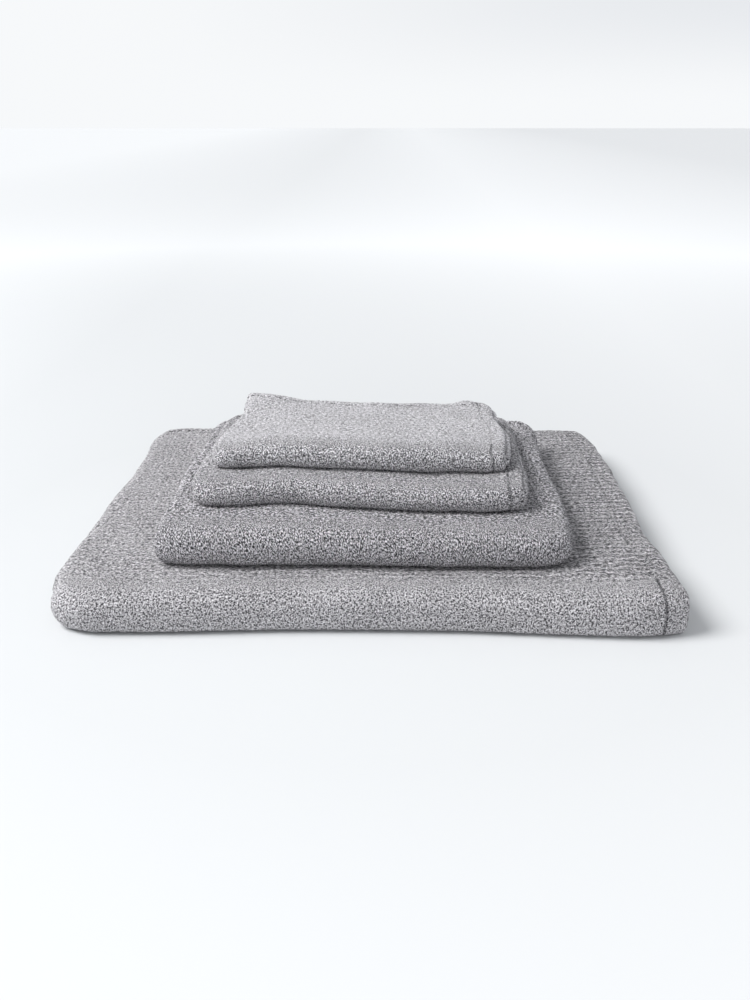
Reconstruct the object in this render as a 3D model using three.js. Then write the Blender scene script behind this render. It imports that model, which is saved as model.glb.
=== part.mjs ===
// Bath towel set: four folded towels of woven cotton, stacked with the largest at the bottom.
// Millimetres, +Z up. The origin is the centre of the stack's footprint, on the face it rests on.
// The folded fronts face -Y and the open edges of the layers face +Y.
//
// Each towel is one cloth, folded twice. First its length is folded across X, as the towel's own
// fold says. Then the folded strip is turned over its middle, which makes the round front.
// h is a layer's height above the inside of that second fold, so the outermost layer has the
// largest h, and it is seen both on top and underneath.
import * as THREE from "three";

// Driving dimensions, mm.
const CLEARANCE = 0.3; // between two pieces that touch
const SIDE_HEM = 10; // width of the hems along the cloth's two long edges
const STITCH_WIDTH = 0.8; // a row of lock stitches, seen from above
const STITCH_SINK = 0.3; // how far the stitches lie below the pile
const SEAM = STITCH_WIDTH + 2 * CLEARANCE; // the groove that a row of stitches lies in
const EDGE_STEP = 0.6; // how far a back edge steps forward for each millimetre of h
const TURN_STEPS = 8; // facets on each half-round turn along the length
const FRONT_STEPS = 12; // facets on the round front

// width and depth are the folded towel's, layer is the height that one layer takes up,
// peek is how far the layers inside show past the outermost end hem,
// at and turn say how the towel lies on the one below it.
const TOWELS = [
  {
    name: "bath_sheet",
    fold: foldInThirds,
    width: 512,
    depth: 450,
    layer: 5.8,
    endHem: 20,
    peek: 0,
    at: [0, 0],
    turn: 0,
    clothColour: "#a8a7ab",
    hemColour: "#a2a1a5",
  },
  {
    name: "bath_towel",
    fold: foldInQuarters,
    width: 346,
    depth: 335,
    layer: 4.15,
    endHem: 14,
    peek: 0,
    at: [-0.7, -10],
    turn: -0.3,
    clothColour: "#8d8c91",
    hemColour: "#87868b",
  },
  {
    name: "hand_towel",
    fold: foldInThirds,
    width: 293,
    depth: 250,
    layer: 3.7,
    endHem: 12,
    peek: 3,
    at: [-6.6, -2.5],
    turn: -1.4,
    clothColour: "#a09fa4",
    hemColour: "#9a999e",
  },
  {
    name: "guest_towel",
    fold: foldInHalf,
    width: 262,
    depth: 160,
    layer: 4.8,
    endHem: 12,
    peek: 3,
    at: [-4.8, -7.2],
    turn: -0.4,
    clothColour: "#b7b7bb",
    hemColour: "#b0b0b4",
  },
];

// A straight stretch of the folded length, at height h.
function run(fromX, toX, h) {
  return { fromX, toX, h, length: Math.abs(toX - fromX) };
}

// A half-round turn between the layers at fromH and toH. side is +1 at the right, -1 at the left.
function halfTurn(centreX, fromH, toH, side) {
  const radius = Math.abs(toH - fromH) / 2;
  const clockwise = side * (toH - fromH) < 0;
  return { centreX, centreH: (fromH + toH) / 2, radius, fromH, side, clockwise, length: Math.PI * radius };
}

// In thirds: the middle third is innermost, the right third folds over it, and the left third
// folds over both, so its hem lies along the top right edge.
function foldInThirds({ width, layer, thickness, peek }) {
  const right = width / 2 - layer / 2 - thickness / 2;
  const left = -width / 2 + layer + thickness / 2;
  return [
    run(left + CLEARANCE, right, layer),
    halfTurn(right, layer, 0, 1),
    run(right, left, 0),
    halfTurn(left, 0, 2 * layer, -1),
    run(left, width / 2 - peek, 2 * layer),
  ];
}

// In quarters: folded in half twice, so a double turn lies at the right and both end hems lie
// inside at the left.
function foldInQuarters({ width, layer, thickness }) {
  const right = width / 2 - 1.5 * layer - thickness / 2;
  const left = -width / 2 + layer / 2 + thickness / 2;
  return [
    run(left, right, layer),
    halfTurn(right, layer, 2 * layer, 1),
    run(right, left, 2 * layer),
    halfTurn(left, 2 * layer, 3 * layer, -1),
    run(left, right, 3 * layer),
    halfTurn(right, 3 * layer, 0, 1),
    run(right, left, 0),
  ];
}

// In half: one turn at the left and both end hems at the right.
function foldInHalf({ width, layer, thickness, peek }) {
  const left = -width / 2 + layer / 2 + thickness / 2;
  return [
    run(width / 2, left, 0),
    halfTurn(left, 0, layer, -1),
    run(left, width / 2 - peek, layer),
  ];
}

const lengthOf = (path) => path.reduce((sum, piece) => sum + piece.length, 0);

// The place at a distance along the cloth, offset through its thickness. Positive offsets are on
// the side that ends up outermost.
function alongPath(path, distance, offset) {
  let start = 0;
  let index = 0;
  while (index < path.length - 1 && distance > start + path[index].length) {
    start += path[index].length;
    index += 1;
  }
  const piece = path[index];
  const rest = Math.min(distance - start, piece.length);
  if (piece.radius === undefined) {
    const direction = Math.sign(piece.toX - piece.fromX);
    return { x: piece.fromX + direction * rest, h: piece.h + direction * offset };
  }
  const sweep = rest / piece.radius;
  const radius = piece.radius + (piece.clockwise ? offset : -offset);
  const from = piece.fromH > piece.centreH ? 1 : -1;
  return {
    x: piece.centreX + piece.side * radius * Math.sin(sweep),
    h: piece.centreH + from * radius * Math.cos(sweep),
  };
}

// The distances along the cloth between two limits where its facets start and end.
function facetStops(path, from, to) {
  const stops = [from];
  let start = 0;
  for (const piece of path) {
    const steps = piece.radius === undefined ? 1 : TURN_STEPS;
    for (let step = 1; step <= steps; step += 1) {
      stops.push(start + (piece.length * step) / steps);
    }
    start += piece.length;
  }
  stops.push(to);
  return stops.filter((stop) => stop >= from && stop <= to).sort((a, b) => a - b)
    .filter((stop, index, all) => index === 0 || stop - all[index - 1] > 0.01);
}

// Places across the cloth, in order from the lower back edge, round the front, to the upper one.
const lowerBack = (fromEdge) => ({ side: -1, fromEdge });
const upperBack = (fromEdge) => ({ side: 1, fromEdge });
const roundFront = () => Array.from(
  { length: FRONT_STEPS + 1 },
  (_, step) => ({ angle: -Math.PI / 2 + (Math.PI * step) / FRONT_STEPS }),
);
const across = (fromEdge) => [lowerBack(fromEdge), ...roundFront(), upperBack(fromEdge)];

// The second fold. A layer further out spends more of its width going round the front, so its
// back edge lies further forward.
function overFront(towel, { x, h }, place) {
  const radius = towel.layer / 2 + h;
  const middle = towel.height / 2;
  if (place.angle !== undefined) {
    const centre = -towel.depth / 2 + middle;
    return [x, centre - radius * Math.cos(place.angle), middle + radius * Math.sin(place.angle)];
  }
  const backEdge = towel.depth / 2 - EDGE_STEP * (h + towel.thickness / 2);
  return [x, backEdge - place.fromEdge, middle + place.side * radius];
}

// A block of the flat cloth, folded with it: stops along it, places across it, and the lower and
// upper limits through its thickness.
function foldedBlock(towel, stops, places, limits) {
  const block = new THREE.BoxGeometry(1, 1, 1, stops.length - 1, places.length - 1, 1);
  const position = block.getAttribute("position");
  for (let i = 0; i < position.count; i += 1) {
    const stop = stops[Math.round((position.getX(i) + 0.5) * (stops.length - 1))];
    const place = places[Math.round((position.getY(i) + 0.5) * (places.length - 1))];
    const offset = position.getZ(i) < 0 ? limits[0] : limits[1];
    const folded = alongPath(towel.path, stop, offset);
    position.setXYZ(i, ...overFront(towel, folded, place));
  }
  block.computeVertexNormals();
  return block;
}

// Materials, one function each.
const weave = (colour) => new THREE.MeshStandardMaterial({ color: colour, roughness: 0.97, metalness: 0 });
const thread = () => new THREE.MeshStandardMaterial({ color: "#77767c", roughness: 0.8, metalness: 0 });

// One towel: the cloth, its two end hems and two side hems, and the row of stitches that holds
// each hem.
function makeTowel(towel) {
  const { path, length, thickness, endHem } = towel;
  const full = [-thickness / 2, thickness / 2];
  const sunk = [-thickness / 2 + STITCH_SINK, thickness / 2 - STITCH_SINK];
  const inner = endHem + SEAM;
  const betweenEnds = facetStops(path, inner, length - inner);
  const group = new THREE.Group();
  const add = (part, geometry, material) => {
    const mesh = new THREE.Mesh(geometry, material);
    mesh.name = `${towel.name}_${part}`;
    group.add(mesh);
  };

  add("cloth", foldedBlock(towel, betweenEnds, across(SIDE_HEM + SEAM), full), weave(towel.clothColour));

  const ends = [
    ["first", (distance) => distance],
    ["second", (distance) => length - distance],
  ];
  for (const [which, from] of ends) {
    const hem = [from(0), from(endHem)].sort((a, b) => a - b);
    const stitches = [from(endHem + CLEARANCE), from(endHem + CLEARANCE + STITCH_WIDTH)].sort((a, b) => a - b);
    add(`${which}_end_hem`, foldedBlock(towel, hem, across(0), full), weave(towel.hemColour));
    add(`${which}_end_stitches`, foldedBlock(towel, stitches, across(0), sunk), thread());
  }

  const stitchedFrom = SIDE_HEM + CLEARANCE;
  const stitchedTo = stitchedFrom + STITCH_WIDTH;
  const sides = [
    ["lower", [lowerBack(0), lowerBack(SIDE_HEM)], [lowerBack(stitchedFrom), lowerBack(stitchedTo)]],
    ["upper", [upperBack(SIDE_HEM), upperBack(0)], [upperBack(stitchedTo), upperBack(stitchedFrom)]],
  ];
  for (const [which, hem, stitches] of sides) {
    add(`${which}_side_hem`, foldedBlock(towel, betweenEnds, hem, full), weave(towel.hemColour));
    add(`${which}_side_stitches`, foldedBlock(towel, betweenEnds, stitches, sunk), thread());
  }
  return group;
}

// The stack, from the bottom up.
const stack = new THREE.Group();
stack.name = "bath_towel_set";
let base = 0;
for (const size of TOWELS) {
  const thickness = size.layer - CLEARANCE;
  const path = size.fold({ ...size, thickness });
  const topLayer = Math.max(...path.filter((piece) => piece.h !== undefined).map((piece) => piece.h));
  const height = 2 * topLayer + size.layer + thickness;
  const group = makeTowel({ ...size, thickness, path, height, length: lengthOf(path) });
  group.position.set(size.at[0], size.at[1], base);
  group.rotation.z = THREE.MathUtils.degToRad(size.turn);
  stack.add(group);
  base += height + CLEARANCE;
}

export default stack;
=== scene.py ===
"""Looks of the bath towel set: four folded towels of grey melange cotton, stacked on a pale floor.

Each towel is built as the sheet of cloth that it is. A sheet is a grid over the flat cloth, in
metres along it and across it, which is folded by the same two folds as the CAD model: first its
length across X, then the folded strip over its middle, which makes the round front at -Y. h is a
layer's height above the inside of that second fold.
"""

import math

import bpy
import numpy as np
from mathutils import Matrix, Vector


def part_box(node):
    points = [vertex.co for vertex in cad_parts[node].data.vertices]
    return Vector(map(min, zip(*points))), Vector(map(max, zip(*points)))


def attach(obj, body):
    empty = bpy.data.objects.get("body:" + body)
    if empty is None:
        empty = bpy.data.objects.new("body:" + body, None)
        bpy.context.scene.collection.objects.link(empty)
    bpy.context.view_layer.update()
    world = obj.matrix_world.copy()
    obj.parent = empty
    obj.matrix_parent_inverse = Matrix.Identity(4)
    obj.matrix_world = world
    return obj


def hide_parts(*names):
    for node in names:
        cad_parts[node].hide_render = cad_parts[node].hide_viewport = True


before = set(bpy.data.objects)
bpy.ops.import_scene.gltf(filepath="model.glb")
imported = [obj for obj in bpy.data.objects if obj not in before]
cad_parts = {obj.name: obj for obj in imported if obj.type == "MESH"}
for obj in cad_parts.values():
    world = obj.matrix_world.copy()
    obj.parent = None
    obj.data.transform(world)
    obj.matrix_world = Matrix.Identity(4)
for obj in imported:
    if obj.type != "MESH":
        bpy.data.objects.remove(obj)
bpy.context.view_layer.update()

# The CAD model's driving dimensions, in metres and degrees. layer is the height from one layer to
# the next, and peek how far the last layer of the first fold stops short of the right-hand end.
SIDE_HEM = 0.010
TOWELS = {
    "bath_sheet": dict(
        fold="thirds",
        width=0.512,
        depth=0.450,
        layer=0.0058,
        end_hem=0.020,
        peek=0.0,
        at=(0.0, 0.0),
        turn=0.0,
    ),
    "bath_towel": dict(
        fold="quarters",
        width=0.346,
        depth=0.335,
        layer=0.00415,
        end_hem=0.014,
        peek=0.0,
        at=(-0.0007, -0.010),
        turn=-0.3,
    ),
    "hand_towel": dict(
        fold="thirds",
        width=0.293,
        depth=0.250,
        layer=0.0037,
        end_hem=0.012,
        peek=0.003,
        at=(-0.0066, -0.0025),
        turn=-1.4,
    ),
    "guest_towel": dict(
        fold="half",
        width=0.262,
        depth=0.160,
        layer=0.0048,
        end_hem=0.012,
        peek=0.003,
        at=(-0.0048, -0.0072),
        turn=-0.4,
    ),
}
CLEARANCE = 0.0003  # between two layers
EDGE_STEP = 0.6  # how far a back edge steps forward for each metre of h
LOBE = 6  # how square a fold's lobe is pressed against the one below it
OPEN_REACH = 0.018  # how far behind the round front the weave is still pulled open
END_OPENING = 0.4  # how far it is pulled open on the turned ends, as a share
UPPER_SQUARENESS = 2.3  # of the front's upper half, where 2 is a plain round
LEAST_CLEAR = 0.0002  # how close the cloth comes to the floor
KNOB = 0.00018  # how knobbly the outer face is

# Sizes of the lumps all over a towel and of its wrinkles, which are long in X and short in Y.
BROAD_LUMP = 0.045
SMALL_LUMP = 0.011
SMALL_LUMP_SHARE = 0.55
WRINKLE_LENGTH, WRINKLE_WIDTH = 0.022, 0.0042
BROAD_SEED, SMALL_SEED, WRINKLE_SEED = 20, 30, 80

# The layers' edges wander, each in its own way: over waves along the edge, by a share of the
# towel's own stray or uneven, and differently from layer to layer.
WANDER_REACH = 0.05  # how far in from an edge they wander
LAYERS_ALIKE = 1.3  # over how many layers the wandering changes, where by_layer is 1
WANDERINGS = [
    dict(edge="right", kind="stray", share=1.0, wave=0.030, by_layer=1.0, seed=40, terms=7),
    dict(edge="right", kind="uneven", share=1.0, wave=0.007, by_layer=0.4, seed=45, terms=10),
    dict(edge="left", kind="stray", share=0.7, wave=0.035, by_layer=0.5, seed=50, terms=7),
    dict(edge="left", kind="uneven", share=0.5, wave=0.008, by_layer=0.3, seed=55, terms=10),
    dict(edge="back", kind="stray", share=1.0, wave=0.030, by_layer=1.0, seed=60, terms=7),
    dict(edge="back", kind="uneven", share=0.6, wave=0.008, by_layer=0.4, seed=65, terms=10),
    dict(edge="front", kind="stray", share=0.5, wave=0.040, by_layer=0.3, seed=70, terms=7),
]

# The cloth is thinner at its seams and edges, by shares of its thickness.
SEAM_THICKNESS = 0.5
EDGE_THICKNESS = 0.1
EDGE_ROUNDING = 0.55  # reach of an edge's round
GROOVE = 0.0024  # reach of the groove at a seam
LYING_GROOVE = 0.3  # how much of a groove is left where the cloth lies flat
SEAM_SHADE_REACH = 0.0011  # reach of the painted shade along a seam's groove
HEM_PUFF = 0.1  # how much thicker the middle of a hem is

# Mesh steps on the surfaces that show, and on the layers that stay inside.
FINE = 0.0022
COARSE = 0.009
TURN_STEPS = 14
FRONT_STEPS = 26
EDGE_LINES = [0.0003, 0.0008, 0.0015, 0.0024]
EDGE_SHARES = [0.15, 0.35, 0.65, 1.0]


# ---------------------------------------------------------------- the folded path of the length


def run(from_x, to_x, h):
    return dict(kind="run", from_x=from_x, to_x=to_x, h=h, length=abs(to_x - from_x))


def half_turn(centre_x, from_h, to_h, side):
    radius = abs(to_h - from_h) / 2
    return dict(
        kind="turn",
        x=centre_x,
        h=(from_h + to_h) / 2,
        radius=radius,
        side=side,
        start=1 if from_h > to_h else -1,
        out=1 if side * (to_h - from_h) < 0 else -1,
        length=math.pi * radius,
    )


def fold_in_thirds(width, layer, thickness, peek):
    right = width / 2 - layer / 2 - thickness / 2
    left = -width / 2 + layer + thickness / 2
    return [
        run(left + CLEARANCE, right, layer),
        half_turn(right, layer, 0, 1),
        run(right, left, 0),
        half_turn(left, 0, 2 * layer, -1),
        run(left, width / 2 - peek, 2 * layer),
    ]


def fold_in_quarters(width, layer, thickness, peek):
    right = width / 2 - 1.5 * layer - thickness / 2
    left = -width / 2 + layer / 2 + thickness / 2
    return [
        run(left, right, layer),
        half_turn(right, layer, 2 * layer, 1),
        run(right, left, 2 * layer),
        half_turn(left, 2 * layer, 3 * layer, -1),
        run(left, right, 3 * layer),
        half_turn(right, 3 * layer, 0, 1),
        run(right, left, 0),
    ]


def fold_in_half(width, layer, thickness, peek):
    left = -width / 2 + layer / 2 + thickness / 2
    return [
        run(width / 2, left, 0),
        half_turn(left, 0, layer, -1),
        run(left, width / 2 - peek, layer),
    ]


FOLDS = {"thirds": fold_in_thirds, "quarters": fold_in_quarters, "half": fold_in_half}


def along_path(path, distances):
    """x, h and the outward normal of the cloth's middle at each distance along it."""
    places = []
    for distance in distances:
        rest = distance
        for piece in path[:-1]:
            if rest <= piece["length"]:
                break
            rest -= piece["length"]
        else:
            piece = path[-1]
        rest = min(rest, piece["length"])
        if piece["kind"] == "run":
            way = math.copysign(1, piece["to_x"] - piece["from_x"])
            places.append((piece["from_x"] + way * rest, piece["h"], 0, way))
        else:
            sweep = rest / piece["radius"]
            across, up = piece["side"] * math.sin(sweep), piece["start"] * math.cos(sweep)
            x = piece["x"] + piece["radius"] * across
            h = piece["h"] + piece["radius"] * up
            places.append((x, h, piece["out"] * across, piece["out"] * up))
    return np.array(places).T


# ---------------------------------------------------------------- smooth irregularity


def ripple(a, b, seed, terms=7):
    """A smooth irregular function of a and b, between about -1 and 1, that changes over about one unit."""
    rng = np.random.default_rng(seed)
    total = np.zeros(np.broadcast(a, b).shape)
    for _ in range(terms):
        angle, size, phase = rng.uniform(0, 2 * math.pi), rng.uniform(0.6, 1.8), rng.uniform(0, 2 * math.pi)
        total = total + np.sin(size * (a * math.cos(angle) + b * math.sin(angle)) + phase)
    return total / math.sqrt(terms) / 1.3


def bump(value, centre, reach):
    """A smooth hill of height 1 at centre that has died away at two reaches."""
    return np.exp(-(((value - centre) / reach) ** 2))


def ease(value, start, end):
    t = np.clip((value - start) / (end - start), 0, 1)
    return t * t * (3 - 2 * t)


# ---------------------------------------------------------------- one towel's shape


class Towel:
    def __init__(self, name, order, width, depth, layer, fold, end_hem, peek, at, turn):
        self.name, self.order = name, order
        self.width, self.depth, self.layer = width, depth, layer
        self.end_hem, self.at, self.turn = end_hem, at, math.radians(turn)
        self.thickness = layer - CLEARANCE
        self.path = FOLDS[fold](width, layer, self.thickness, peek)
        self.length = sum(piece["length"] for piece in self.path)
        self.ends = np.cumsum([0, *(piece["length"] for piece in self.path)])
        self.face_ends = np.cumsum([0, *(piece["length"] * self.stretch(piece) for piece in self.path)])
        self.top_h = max(piece["h"] for piece in self.path if piece["kind"] == "run")
        self.height = 2 * self.top_h + layer + self.thickness
        self.front_centre = -depth / 2 + self.height / 2
        self.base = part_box(f"{name}_cloth")[0].z
        self.below = None
        self.shape = SHAPES[name]

    def stretch(self, piece):
        """How much longer the outer face is than the middle of the cloth."""
        return 1 + piece["out"] * self.thickness / 2 / piece["radius"] if piece["kind"] == "turn" else 1

    def flat_width(self):
        return 2 * (self.depth / 2 - self.front_centre) + math.pi * (self.layer / 2)

    def swell(self, x, y):
        """How much thicker than plain the towel is at a place, as a share."""
        broad = ripple(x / BROAD_LUMP, y / BROAD_LUMP, BROAD_SEED + self.order)
        lumps = ripple(x / SMALL_LUMP, y / SMALL_LUMP, SMALL_SEED + self.order, terms=12)
        return self.shape["swell"] * (broad + SMALL_LUMP_SHARE * lumps)

    def puffed(self, x, y):
        """How much thicker the towel stands at its puffs, as a share."""
        share = 0 * x
        for at_x, at_y, reach, by in self.shape["puffs"]:
            distance = np.hypot(x - at_x / 1000, y - at_y / 1000)
            share = share + by / 1000 / self.height * bump(distance, 0, reach / 1000)
        for at_x, at_y, reach, by in self.shape["wrinkles"]:
            distance = np.hypot(x - at_x / 1000, y - at_y / 1000)
            fine = ripple(x / WRINKLE_LENGTH, y / WRINKLE_WIDTH, WRINKLE_SEED + self.order, terms=9)
            share = share + by / 1000 / self.height * bump(distance, 0, reach / 1000) * fine
        return share

    def top_rise(self, x, y):
        """How far the towel's top lies from its plain height at a place on the stack."""
        return self.base_rise(x, y) + self.height * self.swell(x, y)

    def base_rise(self, x, y):
        return self.below.top_rise(x, y) if self.below else np.zeros(np.broadcast(x, y).shape)

    def settle(self, points):
        """Moves points of the plain folded towel to where the soft one has them on the stack."""
        x, y, z = points
        z = z * (1 + self.puffed(x, y))
        level = z / (LAYERS_ALIKE * self.layer)
        nearness = {
            "right": ease(x, self.width / 2 - WANDER_REACH, self.width / 2),
            "left": ease(-x, self.width / 2 - WANDER_REACH, self.width / 2),
            "back": ease(y, self.depth / 2 - WANDER_REACH, self.depth / 2),
            "front": ease(-y, self.depth / 2 - WANDER_REACH, self.depth / 2),
        }
        for way in WANDERINGS:
            sideways = way["edge"] in ("right", "left")
            along, up = (y if sideways else x) / way["wave"], level * way["by_layer"]
            by = self.shape[way["kind"]] / 1000 * way["share"]
            moved = nearness[way["edge"]] * by * ripple(along, up, way["seed"] + self.order, way["terms"])
            if sideways:
                x = x + moved
            else:
                y = y + moved
        x, y = outlined(self, x, y, z)
        cos, sin = math.cos(self.turn), math.sin(self.turn)
        world_x = self.at[0] + x * cos - y * sin
        world_y = self.at[1] + x * sin + y * cos
        world_z = self.base + self.base_rise(world_x, world_y) + z * (1 + self.swell(world_x, world_y))
        world_z = np.maximum(world_z, LEAST_CLEAR)
        return np.stack([world_x, world_y, world_z])

    def fold(self, distances, places, offsets):
        """Points of the cloth: distances along it, places across it, and how far out of its middle.

        Also gives each point's place on the flat cloth, and how far the weave is pulled open there.
        """
        x, h, normal_x, normal_h = along_path(self.path, distances)
        x, h, normal_x, normal_h = (value[:, None] for value in (x, h, normal_x, normal_h))
        angle, edge, share, side = (value[None, :] for value in places)
        middle_radius = self.layer / 2 + h
        span = self.depth / 2 - EDGE_STEP * h - self.front_centre
        from_edge = edge + share * (span - edge)
        behind_front = np.where(side == 0, 0, span - from_edge)
        flat_behind = side * (middle_radius * math.pi / 2 + behind_front)
        flat_across = np.where(side == 0, middle_radius * angle, flat_behind)
        px, lift = self.filled(x + normal_x * offsets, h + normal_h * offsets)
        # The front is fuller than a plain round, and pressed flat below by the weight above.
        squareness = np.where(angle < 0, self.shape["pressed"], UPPER_SQUARENESS)
        fullness = (np.cos(angle) ** squareness + np.abs(np.sin(angle)) ** squareness) ** (-1 / squareness)
        radius = (self.layer / 2 + lift) * np.where(side == 0, fullness, 1)
        py = np.where(side == 0, self.front_centre - radius * np.cos(angle), self.front_centre + behind_front)
        pz = self.height / 2 + np.where(side == 0, radius * np.sin(angle), side * radius)
        points = self.settle(np.stack(np.broadcast_arrays(px, py, pz)))
        flat_along = np.interp(distances, self.ends, self.face_ends)[:, None]
        flat = np.stack(np.broadcast_arrays(flat_along, flat_across, 0 * flat_across))
        opened = np.maximum(bump(behind_front, 0, OPEN_REACH), END_OPENING * np.abs(normal_x))
        opened = np.maximum(opened, self.shape["open_top"])
        return points, flat, opened

    def route(self, distances, places, offset):
        """Points of a seam that runs across the cloth at one distance, or along it at one place."""
        folded, _, _ = self.fold(distances, places, offset)
        return folded[:, 0, :].T if len(distances) == 1 else folded[:, :, 0].T

    def filled(self, x, h):
        """Lobes of the first fold fill the notch between the two halves of the folded strip."""
        for piece in self.path:
            if piece["kind"] == "turn" and piece["h"] - piece["radius"] < self.layer / 2:
                outward = np.maximum(piece["side"] * (x - piece["x"]), 0)
                inward = np.maximum(piece["h"] - h, 0)
                distance = np.maximum(np.hypot(outward, inward), 1e-9)
                cos, sin = outward / distance, inward / distance
                growth = np.where(outward * inward > 0, (cos**LOBE + sin**LOBE) ** (-1 / LOBE), 1)
                x = x + piece["side"] * outward * (growth - 1)
                h = h - inward * (growth - 1)
        return x, h

    def stops(self, start, end):
        """Distances along the cloth where the mesh has a line, close together where the cloth shows."""
        stops, begin = [start], 0.0
        for piece in self.path:
            if piece["kind"] == "turn":
                steps = TURN_STEPS
            else:
                step = FINE if piece["h"] == self.top_h else COARSE
                steps = max(2, math.ceil(piece["length"] / step))
            stops += [begin + piece["length"] * (i + 1) / steps for i in range(steps)]
            begin += piece["length"]
        return close_in([stop for stop in stops if start <= stop < end] + [end])

    def across(self, edge):
        """Places across the cloth, from the lower back edge, round the front, to the upper back edge."""
        straight = self.depth / 2 - self.front_centre
        lower = np.linspace(0, 1, max(3, round(straight / COARSE)) + 1)[:-1]
        upper = np.linspace(1, 0, max(3, round(straight / FINE)) + 1)[1:]
        angles = np.linspace(-math.pi / 2, math.pi / 2, FRONT_STEPS + 1)
        near = self.edge_rounding() / straight * np.array(EDGE_SHARES)
        lower = np.sort(np.concatenate([lower[(lower == 0) | (lower > near[-1])], near]))
        upper = np.sort(np.concatenate([upper[(upper == 0) | (upper > near[-1])], near]))[::-1]
        count = len(lower) + len(angles) + len(upper)
        angle, share, side = np.zeros(count), np.zeros(count), np.zeros(count)
        share[: len(lower)], side[: len(lower)] = lower, -1
        angle[len(lower) : len(lower) + len(angles)] = angles
        share[-len(upper) :], side[-len(upper) :] = upper, 1
        return angle, np.full(count, edge), share, side

    def edge_rounding(self):
        return EDGE_ROUNDING * self.thickness


def close_in(stops):
    """The stops with a few more close to both ends, where the cloth's edge is rounded."""
    first, last = stops[0], stops[-1]
    inside = [stop for stop in stops[1:-1] if first + EDGE_LINES[-1] < stop < last - EDGE_LINES[-1]]
    start = [first, *(first + line for line in EDGE_LINES)]
    return [*start, *inside, *(last - line for line in reversed(EDGE_LINES)), last]


def edge_places(side, edges):
    """Places at given distances from a back edge."""
    edges = np.array(edges)
    return np.zeros(len(edges)), edges, np.zeros(len(edges)), np.full(len(edges), float(side))


def rounded(distance, reach, least):
    """Thickness share near an edge: least at the edge itself, 1 at a reach away."""
    t = np.clip(distance / reach, 0, 1)
    return least + (1 - least) * np.sqrt(1 - (1 - t) ** 2)


# ---------------------------------------------------------------- how each towel lies

# Hills push an edge out of the plain rectangle: (place along the edge, reach, how far), in mm, and
# negative is inwards. corners says how far each corner is drawn in, round_over over what reach, and
# tip how far the front's corners are drawn back, as a share of the front's radius. pillow is how far
# the top and bottom are drawn in at each end, along it and at its front. puffs are places where the
# towel stands thicker, and wrinkles where its top is wrinkled: (x, y, reach, by), in mm. pressed is
# how square the front's lower half is, and swell how lumpy the towel is, as a share of its height.
# stray and uneven are how far its edges wander, in mm, and open_top how open the weave lies on top.
SHAPES = {
    "bath_sheet": dict(
        pressed=3.6,
        swell=0.03,
        stray=1.6,
        uneven=1.1,
        left=[(70, 90, -4), (-225, 50, 4)],
        right=[(0, 900, -4), (60, 45, 1), (-95, 35, -3), (-157, 22, 1), (-215, 35, 1.5)],
        front=[(0, 900, -6.5), (60, 85, -5), (-70, 80, -5), (200, 60, 1)],
        back=[],
        corners=dict(front_left=10, front_right=2, back_left=10, back_right=12),
        round_over=42,
        pillow=dict(left=(9, 11), right=(9, 4)),
        open_top=0.1,
        tip=0.45,
        puffs=[(-245, -200, 60, 1.5), (215, -190, 70, 2.0)],
        wrinkles=[(215, 185, 60, 0.7), (190, 60, 60, 0.4)],
    ),
    "bath_towel": dict(
        pressed=2.3,
        swell=0.03,
        stray=1.4,
        uneven=0.5,
        left=[(-20, 60, 4), (-150, 50, 0.5)],
        right=[(150, 45, 3), (20, 45, -3)],
        front=[(0, 900, -8)],
        back=[(170, 60, -6)],
        corners=dict(front_left=1, front_right=5, back_left=9, back_right=10),
        round_over=30,
        pillow=dict(left=(8, 6), right=(9, 9)),
        open_top=0.25,
        tip=0.3,
        puffs=[(-100, -120, 90, 1.0), (140, 100, 40, 2.0)],
        wrinkles=[(150, 130, 40, 0.5)],
    ),
    "hand_towel": dict(
        pressed=2.05,
        swell=0.035,
        stray=1.3,
        uneven=0.6,
        left=[],
        right=[],
        front=[(0, 900, -4), (-60, 40, -8), (110, 60, 2)],
        back=[(0, 900, -6), (150, 50, -12), (-150, 50, -12)],
        corners=dict(front_left=6, front_right=3, back_left=9, back_right=10),
        round_over=26,
        pillow=dict(left=(5, 5), right=(3, 3)),
        open_top=0.5,
        tip=0.35,
        puffs=[(110, -100, 40, 1.0), (-140, 118, 35, -3.5), (140, 118, 30, -3.0)],
        wrinkles=[(-120, -110, 50, 0.4)],
    ),
    "guest_towel": dict(
        pressed=2.0,
        swell=0.035,
        stray=1.3,
        uneven=0.6,
        left=[(-65, 35, 6), (25, 25, -5), (55, 30, -9)],
        right=[(-15, 30, 2), (35, 22, -4), (80, 30, -4)],
        front=[(0, 900, -1), (28, 45, 4), (-90, 35, -4), (95, 30, -3)],
        back=[],
        corners=dict(front_left=5, front_right=3, back_left=1, back_right=7),
        round_over=22,
        pillow=dict(left=(4, 4), right=(3, 3)),
        open_top=0.2,
        tip=0.35,
        puffs=[(-120, 85, 55, 9.0), (106, 82, 12, 4.5), (-70, -70, 50, 2.2), (40, -70, 60, 2.6)],
        wrinkles=[(95, 25, 40, 0.6), (90, 70, 30, 0.6)],
    ),
}


PILLOW_REACH = 0.06  # how far in from an end the layers above and below are drawn in
FRONT_PILLOW_REACH = 0.03  # how far behind the round front an end keeps its front's roundness
FULL_ROUND = 0.96  # 1 would draw the top and bottom of an end in with no slope left
CORNER_SHARE = 0.6  # how much of a corner's drawing in is taken along Y


def pushed(along, hills):
    """How far an edge is pushed out, in metres, at places along it."""
    return sum((by / 1000 * bump(along, place / 1000, reach / 1000) for place, reach, by in hills), 0 * along)


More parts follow.
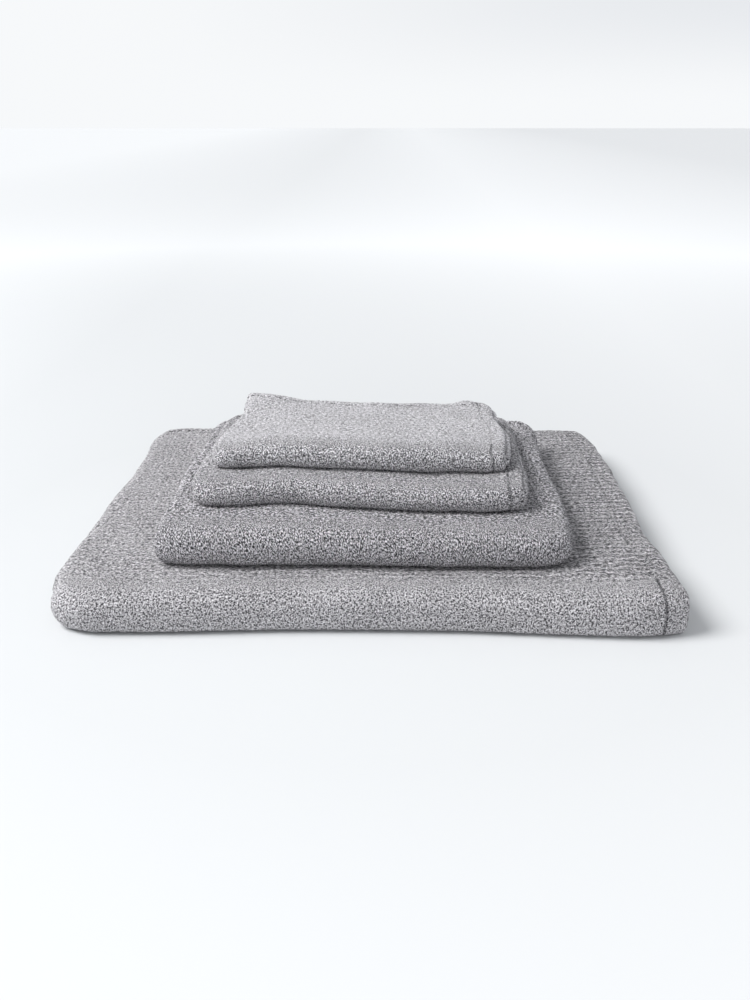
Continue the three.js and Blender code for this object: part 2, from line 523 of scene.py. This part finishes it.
def outlined(towel, x, y, z):
    """The plain rectangle's points, moved so that its outline is the towel's own."""
    shape = towel.shape
    half_width, half_depth = towel.width / 2, towel.depth / 2
    right, left = ease(x, 0, half_width), ease(-x, 0, half_width)
    back, front = ease(y, 0, half_depth), ease(-y, 0, half_depth)
    new_x = x + right * pushed(y, shape["right"]) - left * pushed(y, shape["left"])
    new_y = y + back * pushed(x, shape["back"]) - front * pushed(x, shape["front"])

    # The ends are rounder than their layers, most of all at the front.
    radius = towel.height / 2
    from_middle = np.clip(np.abs(z / radius - 1), 0, 1)
    roundness = 1 - np.sqrt(1 - FULL_ROUND * from_middle**2)
    front_part = np.clip((towel.front_centre - y) / radius, 0, 1)
    for side, outward in (("right", 1), ("left", -1)):
        width_in = half_width - outward * x
        along_side, at_front = shape["pillow"][side]
        by_front = bump(np.maximum(y - towel.front_centre, 0), 0, FRONT_PILLOW_REACH)
        pillow = (along_side + (at_front - along_side) * by_front) / 1000
        pull = pillow * roundness * np.clip(1 - width_in / PILLOW_REACH, 0, 1)
        new_x = new_x - outward * pull

    for where, drawn_in in shape["corners"].items():
        end, side = where.split("_")
        reach = shape["round_over"] / 1000
        outward = 1 if side == "right" else -1
        width_in = np.clip(half_width - outward * x, 0, None)
        near_end = np.clip(1 - width_in / reach, 0, 1) ** 2
        if end == "front":
            depth_in = np.maximum(y - towel.front_centre, 0)
            new_y = new_y + front_part * radius * shape["tip"] * near_end
        else:
            depth_in = np.clip(half_depth - y, 0, None)
        by_corner = np.clip(1 - depth_in / reach, 0, 1) ** 2 * np.clip(1 - width_in / (3 * reach), 0, 1)
        pull = drawn_in / 1000 * by_corner
        new_x = new_x - outward * pull
        pull = CORNER_SHARE * drawn_in / 1000 * near_end * np.clip(1 - depth_in / (3 * reach), 0, 1)
        new_y = new_y + (pull if end == "front" else -pull)
    return new_x, new_y


# ---------------------------------------------------------------- meshes


def mesh_object(name, points, faces, flat, opened, seam_shade, material):
    """A smooth mesh that knows each point's place on the flat cloth, how its weave lies there, and how much
    painted shade a seam's groove gives it.
    """
    mesh = bpy.data.meshes.new(name)
    mesh.vertices.add(len(points))
    mesh.vertices.foreach_set("co", points.astype(np.float32).ravel())
    mesh.loops.add(faces.size)
    mesh.loops.foreach_set("vertex_index", faces.astype(np.int32).ravel())
    mesh.polygons.add(len(faces))
    mesh.polygons.foreach_set("loop_start", np.arange(0, faces.size, 4, dtype=np.int32))
    mesh.polygons.foreach_set("use_smooth", np.ones(len(faces), bool))
    mesh.update()
    mesh.validate()
    attribute = mesh.attributes.new("flat", "FLOAT_VECTOR", "POINT")
    attribute.data.foreach_set("vector", flat.astype(np.float32).ravel())
    for label, values in (("opened", opened), ("seam_shade", seam_shade)):
        attribute = mesh.attributes.new(label, "FLOAT", "POINT")
        attribute.data.foreach_set("value", np.broadcast_to(values, len(points)).astype(np.float32))
    mesh.materials.append(material)
    piece = bpy.data.objects.new(name, mesh)
    bpy.context.scene.collection.objects.link(piece)
    return piece


def sheet_mesh(towel, name, stops, places, profile, seam_shade, seed, material):
    """A closed sheet: an outer and an inner grid, joined round the edge.

    profile gives the thickness share over the grid, and the next argument how much painted shade a seam's
    groove gives it.
    Only the outer side has a knobbly surface.
    """
    rng = np.random.default_rng(seed)
    shape = (len(stops), len(places[0]))
    half = towel.thickness / 2 * profile
    knobs = rng.normal(0, 1, shape) * KNOB * profile
    outer, flat_outer, opened = towel.fold(stops, places, half + knobs)
    inner, flat_inner, _ = towel.fold(stops, places, -half)
    flat_inner[2] = 1
    rows, columns = shape
    index = np.arange(rows * columns).reshape(shape)
    quads = np.stack([index[:-1, :-1], index[1:, :-1], index[1:, 1:], index[:-1, 1:]], -1).reshape(-1, 4)
    loop = np.concatenate([index[:, 0], index[-1, 1:], index[-2::-1, -1], index[0, -2:0:-1]])
    after = np.roll(loop, -1)
    count = rows * columns
    wall = np.stack([after, loop, loop + count, after + count], -1)
    faces = np.concatenate([quads, quads[:, ::-1] + count, wall])
    points = np.concatenate([outer.reshape(3, -1).T, inner.reshape(3, -1).T])
    flat = np.concatenate([flat_outer.reshape(3, -1).T, flat_inner.reshape(3, -1).T])
    opened, seam_shade = (np.tile(np.broadcast_to(values, shape).ravel(), 2) for values in (opened, seam_shade))
    return mesh_object(name, points, faces, flat, opened, seam_shade, material)


STITCH = 0.0042
STITCH_STEPS = 4
SEAM_DEPTH = 0.5  # where the thread lies between the cloth's middle and its face
OUTWARD_STEP = 0.0004  # how far out the seam's line is taken again, to find which way is out
THREAD = 0.00042  # its radius where it lies on the cloth
THREAD_SIDES = 5
SUNK_THREAD = 0.55  # its radius where it dips in, as a share
RISE, SINK = 1.6, 0.6  # of the thread over and under the seam's line, in radiuses


def seam_mesh(towel, name, distances, places, material):
    """The needle thread on the outer side and the bobbin thread on the inner side of one seam.

    distances or places holds a single one, and the seam runs along the other. The thread dips
    into the cloth between stitches.
    """
    parts, faces, offset = [], [], 0
    for side in (1, -1):
        depth = side * towel.thickness / 2 * SEAM_DEPTH
        line = towel.route(distances, places, depth)
        up = towel.route(distances, places, depth + side * OUTWARD_STEP) - line
        travelled = np.concatenate([[0], np.cumsum(np.linalg.norm(np.diff(line, axis=0), axis=1))])
        count = max(2, round(travelled[-1] / STITCH)) * STITCH_STEPS
        at = np.linspace(0, travelled[-1], count + 1)
        line = np.stack([np.interp(at, travelled, line[:, i]) for i in range(3)], -1)
        up = np.stack([np.interp(at, travelled, up[:, i]) for i in range(3)], -1)
        up /= np.linalg.norm(up, axis=1)[:, None]
        along = np.gradient(line, axis=0)
        along /= np.linalg.norm(along, axis=1)[:, None]
        beside = np.cross(along, up)
        lift = np.abs(np.sin(np.arange(count + 1) / STITCH_STEPS * math.pi))
        radius = THREAD * (SUNK_THREAD + (1 - SUNK_THREAD) * lift)
        centre = line + up * (THREAD * RISE * lift - THREAD * SINK)[:, None]
        around = np.arange(THREAD_SIDES) * 2 * math.pi / THREAD_SIDES
        ring = (
            centre[:, None]
            + beside[:, None] * (np.cos(around)[None, :, None] * radius[:, None, None])
            + up[:, None] * (np.sin(around)[None, :, None] * radius[:, None, None])
        )
        index = np.arange((count + 1) * THREAD_SIDES).reshape(count + 1, THREAD_SIDES) + offset
        turned = np.roll(index, -1, axis=1)
        faces.append(np.stack([index[:-1], turned[:-1], turned[1:], index[1:]], -1).reshape(-1, 4))
        parts.append(ring.reshape(-1, 3))
        offset += ring.shape[0] * THREAD_SIDES
    points = np.concatenate(parts)
    return mesh_object(name, points, np.concatenate(faces), points, 0, 0, material)


# ---------------------------------------------------------------- materials


def nodes_of(material):
    material.use_nodes = True
    tree = material.node_tree
    tree.nodes.clear()
    return tree


def link_maths(tree, operation, *values, clamp=False):
    node = tree.nodes.new("ShaderNodeMath")
    node.operation, node.use_clamp = operation, clamp
    for i, value in enumerate(values):
        if isinstance(value, (int, float)):
            node.inputs[i].default_value = value
        else:
            tree.links.new(value, node.inputs[i])
    return node.outputs[0]


def ranged(tree, value, start, end, low=0.0, high=1.0, smooth=False):
    """low to high, as the value goes from start to end."""
    node = tree.nodes.new("ShaderNodeMapRange")
    node.interpolation_type = "SMOOTHSTEP" if smooth else "LINEAR"
    for socket, number in (("From Min", start), ("From Max", end), ("To Min", low), ("To Max", high)):
        node.inputs[socket].default_value = number
    tree.links.new(value, node.inputs["Value"])
    return node.outputs["Result"]


def mixed(tree, factor, first, second):
    """The first colour where the factor is 0, and the second where it is 1."""
    node = tree.nodes.new("ShaderNodeMix")
    node.data_type = "RGBA"
    tree.links.new(factor, node.inputs["Factor"])
    for socket, colour in (("A", first), ("B", second)):
        if isinstance(colour, tuple):
            node.inputs[socket].default_value = (*colour, 1)
        else:
            tree.links.new(colour, node.inputs[socket])
    return node.outputs["Result"]


def noise(tree, vector, detail, scale=1, distortion=0.0):
    node = tree.nodes.new("ShaderNodeTexNoise")
    node.inputs["Scale"].default_value = scale
    node.inputs["Detail"].default_value = detail
    node.inputs["Roughness"].default_value = 0.6
    node.inputs["Distortion"].default_value = distortion
    tree.links.new(vector, node.inputs["Vector"])
    return node.outputs["Fac"]


# Sizes along and across the cloth, in metres: loops that lie down, the cells between loops, patches
# where the weave is more or less open, the bends of the rows, streaks in them, and blotches of the
# painted shade along seams.
LYING_LOOP = (0.0027, 0.0021, 0.001)
CELL = (0.0027, 0.0027, 1)
PATCH = (0.011, 0.009, 1)
ROW_BEND = (0.020, 0.016, 1)
ROW_STREAK = (0.0055, 0.0035, 1)
SEAM_SHADE_BLOTCH = (0.006, 0.006, 1)
ROW_SLOPE = -0.07
FIBRES_PER_METRE = 1500
CLOUDS_PER_METRE = 18

# Strengths: of the patches, the fibres and the clouds, of a row's wave, streaks and bends, and of the
# painted shade along a seam's groove where the weave lies flat, where it is open, and all along.
PATCHINESS = 0.55
FIBRES, CLOUDS = 1.4, 0.3
ROW_WAVE, ROW_STREAKS, ROW_BENDING = 0.16, 1.6, 9
FAINT_ROWS, ROWS_GROW_OVER = 0.45, 0.25
SEAM_SHADE_LYING, SEAM_SHADE_OPEN, SEAM_SHADE_EVENLY = 0.05, 0.75, 0.35
PIT, PIT_RIM = 0.06, 0.36  # distances from a cell's middle
MEAN_SOLID = 0.85
RELIEF = 0.0010
STANDING_RELIEF, LYING_RELIEF = 1.2, 1.5


def divided(tree, vector, sizes):
    node = tree.nodes.new("ShaderNodeVectorMath")
    node.operation = "DIVIDE"
    node.inputs[1].default_value = sizes
    tree.links.new(vector, node.inputs[0])
    return node.outputs[0]


def weave(
    name,
    dark,
    light,
    strokes,
    open_contrast,
    lying_contrast,
    pit_shade,
    rows,
    rows_across,
    rows_from,
    light_share,
    painted_shade_in_rows=0.0,
    painted_front_shade=0.0,
    slant=0.0,
):
    """Melange towelling: crooked loops of dark and light yarn.

    Round the folds the weave is pulled open, with fine loops and hollows between them, and on
    the flat parts the loops lie over one another. strokes is the size of a standing loop along
    and across the cloth, and slant how far it leans. The hollows are painted darker by pit_shade:
    painted shade in the hollows. rows says how strongly the lying loops line up in rows, which
    lie rows_across apart and are strongest from rows_from along the cloth. light_share is the
    share of light yarn, less painted_shade_in_rows in the rows, which is painted shade where the
    towels above shade the cloth, and less painted_front_shade where the weave is open, which is
    painted shade on the round front.
    """
    material = bpy.data.materials.new(name)
    tree = nodes_of(material)
    new, link = tree.nodes.new, tree.links.new
    flat = new("ShaderNodeAttribute")
    flat.attribute_name = "flat"
    place = flat.outputs["Vector"]
    opened = new("ShaderNodeAttribute")
    opened.attribute_name = "opened"
    opened = opened.outputs["Fac"]
    seam_shade = new("ShaderNodeAttribute")
    seam_shade.attribute_name = "seam_shade"

    def times(first, second):
        return link_maths(tree, "MULTIPLY", first, second)

    def around(value, strength):
        return times(link_maths(tree, "SUBTRACT", value, 0.5), strength)

    def plus(first, second):
        return link_maths(tree, "ADD", first, second)

    across = new("ShaderNodeSeparateXYZ")
    link(place, across.inputs[0])
    leaning = new("ShaderNodeCombineXYZ")
    link(plus(across.outputs["X"], times(across.outputs["Y"], slant)), leaning.inputs["X"])
    link(across.outputs["Y"], leaning.inputs["Y"])
    link(across.outputs["Z"], leaning.inputs["Z"])
    patches = noise(tree, divided(tree, place, PATCH), detail=3)
    opened = link_maths(tree, "ADD", opened, around(patches, PATCHINESS), clamp=True)
    lying = link_maths(tree, "SUBTRACT", 1, opened)
    leaned = divided(tree, leaning.outputs[0], (*strokes, 0.001))
    standing_loops = noise(tree, leaned, detail=2, distortion=0.6)
    lying_loops = noise(tree, divided(tree, place, LYING_LOOP), detail=2, distortion=0.4)
    fibre = noise(tree, place, detail=1, scale=FIBRES_PER_METRE)
    cloud = noise(tree, place, detail=3, scale=CLOUDS_PER_METRE)

    cells = new("ShaderNodeTexVoronoi")
    cells.voronoi_dimensions = "2D"
    cells.inputs["Scale"].default_value = 1
    cells.inputs["Randomness"].default_value = 0.85
    link(divided(tree, place, CELL), cells.inputs["Vector"])
    solid = ranged(tree, cells.outputs["Distance"], PIT, PIT_RIM, smooth=True)

    # Rows of lying loops, crooked and broken.
    bend = noise(tree, divided(tree, place, ROW_BEND), detail=2)
    level = plus(across.outputs["Y"], times(across.outputs["X"], ROW_SLOPE))
    turns = plus(times(level, 2 * math.pi / rows_across), around(bend, ROW_BENDING))
    wave = link_maths(tree, "SINE", turns)
    streak = noise(tree, divided(tree, place, ROW_STREAK), detail=2)
    row = plus(times(wave, ROW_WAVE * rows), around(streak, ROW_STREAKS * rows))
    strong = ranged(tree, across.outputs["X"], rows_from, rows_from + ROWS_GROW_OVER, low=FAINT_ROWS)
    # Painted shade: the rows are painted darker, toward the right end of the bath sheet's top, which the
    # towels above shade.
    row = times(link_maths(tree, "SUBTRACT", row, painted_shade_in_rows), strong)

    # Painted shade: the hollows between the loops are painted darker where the weave is open.
    painted_pit_shade = times(link_maths(tree, "SUBTRACT", solid, MEAN_SOLID), pit_shade)
    open_share = plus(around(standing_loops, open_contrast), painted_pit_shade)
    lying_share = plus(around(lying_loops, lying_contrast), row)
    share = plus(
        times(open_share, link_maths(tree, "POWER", opened, 0.5)),
        times(lying_share, link_maths(tree, "POWER", lying, 0.5)),
    )
    share = plus(share, plus(around(fibre, FIBRES), around(cloud, CLOUDS)))
    # Painted shade along a seam's groove, in blotches and strongest where the weave is open: drawn_in below
    # holds this painted shade.
    seam_shade_blotches = noise(tree, divided(tree, place, SEAM_SHADE_BLOTCH), detail=2)
    seam_shade_strength = plus(SEAM_SHADE_LYING, times(opened, SEAM_SHADE_OPEN))
    drawn_in = times(times(seam_shade.outputs["Fac"], seam_shade_strength), plus(seam_shade_blotches, SEAM_SHADE_EVENLY))
    # Painted shade: where the weave is open, most of all on the round front, the colour is painted darker.
    share = link_maths(tree, "SUBTRACT", share, plus(drawn_in, times(opened, painted_front_shade)))
    share = link_maths(tree, "ADD", share, light_share, clamp=True)

    loops = plus(around(standing_loops, STANDING_RELIEF), around(lying_loops, LYING_RELIEF))
    raised = plus(times(solid, opened), loops)
    relief = new("ShaderNodeBump")
    relief.inputs["Strength"].default_value = 1
    relief.inputs["Distance"].default_value = RELIEF
    link(plus(raised, row), relief.inputs["Height"])

    surface = new("ShaderNodeBsdfPrincipled")
    surface.inputs["Roughness"].default_value = 0.95
    surface.inputs["Specular IOR Level"].default_value = 0.15
    surface.inputs["Sheen Weight"].default_value = 0.25
    surface.inputs["Sheen Roughness"].default_value = 0.55
    surface.inputs["Sheen Tint"].default_value = (0.95, 0.95, 0.97, 1)
    link(mixed(tree, share, dark, light), surface.inputs["Base Color"])
    link(relief.outputs["Normal"], surface.inputs["Normal"])
    output = new("ShaderNodeOutputMaterial")
    link(surface.outputs["BSDF"], output.inputs["Surface"])
    return material


TWISTS_PER_METRE = 2500
THREAD_DARK, THREAD_LIGHT = (0.17, 0.17, 0.18), (0.40, 0.40, 0.42)


def sewing_thread():
    """Grey sewing thread, with the light and dark of its twist."""
    material = bpy.data.materials.new("sewing_thread")
    tree = nodes_of(material)
    new, link = tree.nodes.new, tree.links.new
    place = new("ShaderNodeTexCoord")
    twist = new("ShaderNodeTexNoise")
    twist.inputs["Scale"].default_value = TWISTS_PER_METRE
    link(place.outputs["Object"], twist.inputs["Vector"])
    relief = new("ShaderNodeBump")
    relief.inputs["Distance"].default_value = 0.0001
    link(twist.outputs["Fac"], relief.inputs["Height"])
    surface = new("ShaderNodeBsdfPrincipled")
    surface.inputs["Roughness"].default_value = 0.7
    surface.inputs["Specular IOR Level"].default_value = 0.3
    colour = mixed(tree, twist.outputs["Fac"], THREAD_DARK, THREAD_LIGHT)
    link(colour, surface.inputs["Base Color"])
    link(relief.outputs["Normal"], surface.inputs["Normal"])
    output = new("ShaderNodeOutputMaterial")
    link(surface.outputs["BSDF"], output.inputs["Surface"])
    return material


WEAVES = {
    "bath_sheet": dict(
        dark=(0.022, 0.0205, 0.024),
        light=(0.88, 0.855, 0.885),
        strokes=(0.00098, 0.00095),
        open_contrast=3.9,
        lying_contrast=3.2,
        pit_shade=0.6,
        rows=1.0,
        rows_across=0.0092,
        rows_from=1.10,
        light_share=0.475,
        # painted shade on the right end of the top, where the towels above shade it
        painted_shade_in_rows=0.12,
    ),
    "bath_towel": dict(
        dark=(0.012, 0.011, 0.013),
        light=(0.86, 0.835, 0.875),
        strokes=(0.00074, 0.0015),
        slant=0.3,
        open_contrast=13,
        lying_contrast=11,
        pit_shade=0.2,
        rows=0.4,
        rows_across=0.0060,
        rows_from=0.2,
        light_share=0.265,
    ),
    "hand_towel": dict(
        dark=(0.018, 0.0168, 0.020),
        light=(0.88, 0.856, 0.89),
        strokes=(0.00098, 0.00105),
        open_contrast=8.5,
        lying_contrast=7.0,
        pit_shade=0.25,
        rows=0.4,
        rows_across=0.0055,
        rows_from=0.2,
        light_share=0.365,
    ),
    "guest_towel": dict(
        dark=(0.03, 0.0285, 0.032),
        light=(0.95, 0.928, 0.962),
        strokes=(0.00098, 0.0010),
        open_contrast=7.5,
        lying_contrast=2.8,
        pit_shade=0.25,
        rows=0.3,
        rows_across=0.0050,
        rows_from=0.1,
        light_share=0.62,
        # painted shade on the round front, where the weave is open
        painted_front_shade=0.26,
    ),
}


# ---------------------------------------------------------------- building a towel


CLOTH_SEED, END_HEM_SEED, SIDE_HEM_SEED = 100, 200, 300
SIDE_HEM_STEPS = 5


def build(towel, thread):
    """All pieces of one towel, each standing for its own CAD nodes."""
    name, order = towel.name, towel.order
    cloth_weave = weave(f"{name}_weave", **WEAVES[name])
    length, end = towel.length, towel.end_hem
    reach = towel.edge_rounding()
    straight = towel.depth / 2 - towel.front_centre

    # A seam's groove gets painted shade, strongest on the seam itself.
    def seam_shade_at(distance):
        return bump(distance, 0, SEAM_SHADE_REACH)

    def end_groove(distance, places):
        """Thickness share by a seam across the fold: shallow where the cloth lies flat."""
        behind_front = np.where(places[3] == 0, 0, (1 - places[2]) * straight)
        depth = LYING_GROOVE + (1 - LYING_GROOVE) * bump(behind_front, 0, OPEN_REACH)
        return 1 - (1 - rounded(distance, GROOVE, SEAM_THICKNESS)) * depth[None, :]

    def puffed_hem(share):
        """Thickness share over a hem's width, 0 to 1."""
        return 1 + HEM_PUFF * np.sin(share * math.pi)

    def woven(part, *grid):
        piece = sheet_mesh(towel, f"woven_{name}_{part}", *grid, cloth_weave)
        return placed(piece, part)

    def sewn(part, *line):
        piece = seam_mesh(towel, f"sewn_{name}_{part}", *line, thread)
        return placed(piece, part)

    def placed(piece, part):
        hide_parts(f"{name}_{part}")
        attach(piece, name)
        return piece

    # The cloth between the hems.
    stops = towel.stops(end, length - end)
    places = towel.across(SIDE_HEM)
    from_end = np.minimum(np.array(stops) - stops[0], stops[-1] - np.array(stops))[:, None]
    from_side = np.where(places[3] == 0, 1.0, places[2] * straight)[None, :]
    profile = end_groove(from_end, places) * rounded(from_side, GROOVE, SEAM_THICKNESS)
    seam_shade = np.maximum(seam_shade_at(from_end), seam_shade_at(from_side))
    cloth = woven("cloth", stops, places, profile, seam_shade, CLOTH_SEED + order)

    # End hems run right across, round the front.
    full = towel.across(0.0)
    from_side = np.where(full[3] == 0, 1.0, full[2] * straight)[None, :]
    for which, from_to in (("first", (0.0, end)), ("second", (length - end, length))):
        hem_stops = np.array(close_in(list(np.linspace(*from_to, max(4, round(end / FINE)) + 1))))
        row = end if which == "first" else length - end
        free = hem_stops if which == "first" else length - hem_stops
        seam = np.abs(row - hem_stops)[:, None]
        outer = puffed_hem(np.clip(free / end, 0, 1)) * rounded(free, reach, EDGE_THICKNESS)
        profile = outer[:, None] * rounded(from_side, reach, EDGE_THICKNESS) * end_groove(seam, full)
        woven(f"{which}_end_hem", hem_stops, full, profile, seam_shade_at(seam), END_HEM_SEED + order)
        sewn(f"{which}_end_stitches", [row], full)

    # Side hems run along both open back edges.
    from_end = from_end[:, 0]
    for which, side in (("lower", -1), ("upper", 1)):
        edges = np.array(close_in(list(np.linspace(0, SIDE_HEM, SIDE_HEM_STEPS + 1))))
        edges = edges if side < 0 else edges[::-1]
        outer = puffed_hem(edges / SIDE_HEM) * rounded(edges, reach, EDGE_THICKNESS)
        across = outer * rounded(SIDE_HEM - edges, GROOVE, SEAM_THICKNESS)
        profile = rounded(from_end, GROOVE, SEAM_THICKNESS)[:, None] * across[None, :]
        seam_shade = np.maximum(seam_shade_at(from_end)[:, None], seam_shade_at(SIDE_HEM - edges)[None, :])
        hem = edge_places(side, edges)
        woven(f"{which}_side_hem", stops, hem, profile, seam_shade, SIDE_HEM_SEED + order)
        sewn(f"{which}_side_stitches", stops, edge_places(side, [SIDE_HEM]))

    towel.flat_width()


# ---------------------------------------------------------------- stage


LENS = 36
CAMERA_AT = (0.0153, -0.905, 0.386)
LOOKING_DOWN, LOOKING_ASIDE = 21.45, -0.73


def make_camera():
    """A 36 mm lens close in front of the stack, looking down at it."""
    data = bpy.data.cameras.new("camera")
    data.lens, data.sensor_width = LENS, 36
    camera = bpy.data.objects.new("camera", data)
    bpy.context.scene.collection.objects.link(camera)
    camera.location = CAMERA_AT
    pitch, yaw = math.radians(LOOKING_DOWN), math.radians(LOOKING_ASIDE)
    ahead = Vector((math.sin(yaw) * math.cos(pitch), math.cos(yaw) * math.cos(pitch), -math.sin(pitch)))
    camera.rotation_euler = ahead.to_track_quat("-Z", "Y").to_euler()
    bpy.context.scene.camera = camera


FLOOR_REACH = 20.0
FLOOR_LEFT, FLOOR_RIGHT = (0.63, 0.645, 0.655), (0.87, 0.882, 0.89)
FLOOR_BLEND = 0.5  # its tone changes from this far left to this far right
# Its own glow grows between two distances from the stack, and is stronger on the left.
GLOW_FROM, GLOW_TO, GLOW = 0.38, 2.2, 0.45
GLOW_COLOUR = (0.97, 0.985, 1, 1)
GLOW_BLEND, GLOW_LEFT, GLOW_RIGHT = 2.5, 1.42, 0.82


def make_floor():
    mesh = bpy.data.meshes.new("floor")
    corners = [(x * FLOOR_REACH, y * FLOOR_REACH, 0) for x, y in ((-1, -1), (1, -1), (1, 1), (-1, 1))]
    mesh.from_pydata(corners, [], [(0, 1, 2, 3)])
    floor = bpy.data.objects.new("floor", mesh)
    bpy.context.scene.collection.objects.link(floor)
    material = bpy.data.materials.new("floor")
    tree = nodes_of(material)
    surface = tree.nodes.new("ShaderNodeBsdfPrincipled")
    surface.inputs["Roughness"].default_value = 0.85
    surface.inputs["Specular IOR Level"].default_value = 0.1
    # It is a little darker on the side of the light.
    place = tree.nodes.new("ShaderNodeTexCoord")
    parts = tree.nodes.new("ShaderNodeSeparateXYZ")
    tree.links.new(place.outputs["Object"], parts.inputs[0])
    sideways = ranged(tree, parts.outputs["X"], -FLOOR_BLEND, FLOOR_BLEND)
    tone = mixed(tree, sideways, FLOOR_LEFT, FLOOR_RIGHT)
    tree.links.new(tone, surface.inputs["Base Color"])
    # Far off, where the light falls off, the floor keeps its brightness up to the horizon.
    distance = tree.nodes.new("ShaderNodeVectorMath")
    distance.operation = "LENGTH"
    tree.links.new(place.outputs["Object"], distance.inputs[0])
    glow = ranged(tree, distance.outputs["Value"], GLOW_FROM, GLOW_TO, high=GLOW)
    surface.inputs["Emission Color"].default_value = GLOW_COLOUR
    brighter_left = ranged(tree, parts.outputs["X"], -GLOW_BLEND, GLOW_BLEND, GLOW_LEFT, GLOW_RIGHT)
    strength = link_maths(tree, "MULTIPLY", glow, brighter_left)
    tree.links.new(strength, surface.inputs["Emission Strength"])
    output = tree.nodes.new("ShaderNodeOutputMaterial")
    tree.links.new(surface.outputs["BSDF"], output.inputs["Surface"])
    mesh.materials.append(material)


# The room is bright at the horizon, shaded a little above it on the right, and dimmer higher up.
# Each change runs between two heights, or two places from left to right, of a direction's -1 to 1.
HORIZON, SHADED_HORIZON = (0.93, 0.945, 0.96), (0.80, 0.82, 0.85)
SHADED_HEIGHTS, SHADED_SIDE = (0, 0.09), (-0.3, 0.35)
AMBIENT = (0.455, 0.465, 0.48)
AMBIENT_HEIGHTS = (0.12, 0.4)
SOFT_LIGHT = 52
SOFT_LIGHT_SIZE = 1.3
LIGHT_FROM = (-1.45, -0.40, 1.75)
FILL_LIGHT = 2.2
FILL_LIGHT_SIZE = 1.2
FILL_FROM = (0.25, -1.9, 0.45)


def add_disk_light(name, place, size, watts):
    data = bpy.data.lights.new(name, "AREA")
    data.shape, data.size, data.energy = "DISK", size, watts
    light = bpy.data.objects.new(name, data)
    bpy.context.scene.collection.objects.link(light)
    light.location = place
    light.rotation_euler = (-Vector(place)).to_track_quat("-Z", "Y").to_euler()
    light.visible_camera = False


def make_light():
    """A pale room, brightest low down, a broad soft light from the upper left, and a weak one in front."""
    world = bpy.data.worlds.new("studio")
    bpy.context.scene.world = world
    world.use_nodes = True
    tree = world.node_tree
    place = tree.nodes.new("ShaderNodeTexCoord")
    parts = tree.nodes.new("ShaderNodeSeparateXYZ")
    tree.links.new(place.outputs["Generated"], parts.inputs[0])

    above = ranged(tree, parts.outputs["Z"], *SHADED_HEIGHTS, smooth=True)
    rightward = ranged(tree, parts.outputs["X"], *SHADED_SIDE, smooth=True)
    shade = link_maths(tree, "MULTIPLY", above, rightward)
    horizon = mixed(tree, shade, HORIZON, SHADED_HORIZON)
    up = ranged(tree, parts.outputs["Z"], *AMBIENT_HEIGHTS, smooth=True)
    colour = mixed(tree, up, horizon, AMBIENT)
    background = tree.nodes["Background"]
    tree.links.new(colour, background.inputs["Color"])
    background.inputs["Strength"].default_value = 1

    add_disk_light("soft_light", LIGHT_FROM, SOFT_LIGHT_SIZE, SOFT_LIGHT)
    add_disk_light("front_fill", FILL_FROM, FILL_LIGHT_SIZE, FILL_LIGHT)
    bpy.context.scene.view_settings.view_transform = "Standard"


make_camera()
make_floor()
make_light()
thread_material = sewing_thread()
below = None
for number, (towel_name, size) in enumerate(TOWELS.items()):
    current = Towel(towel_name, number, **size)
    current.below = below
    build(current, thread_material)
    below = current
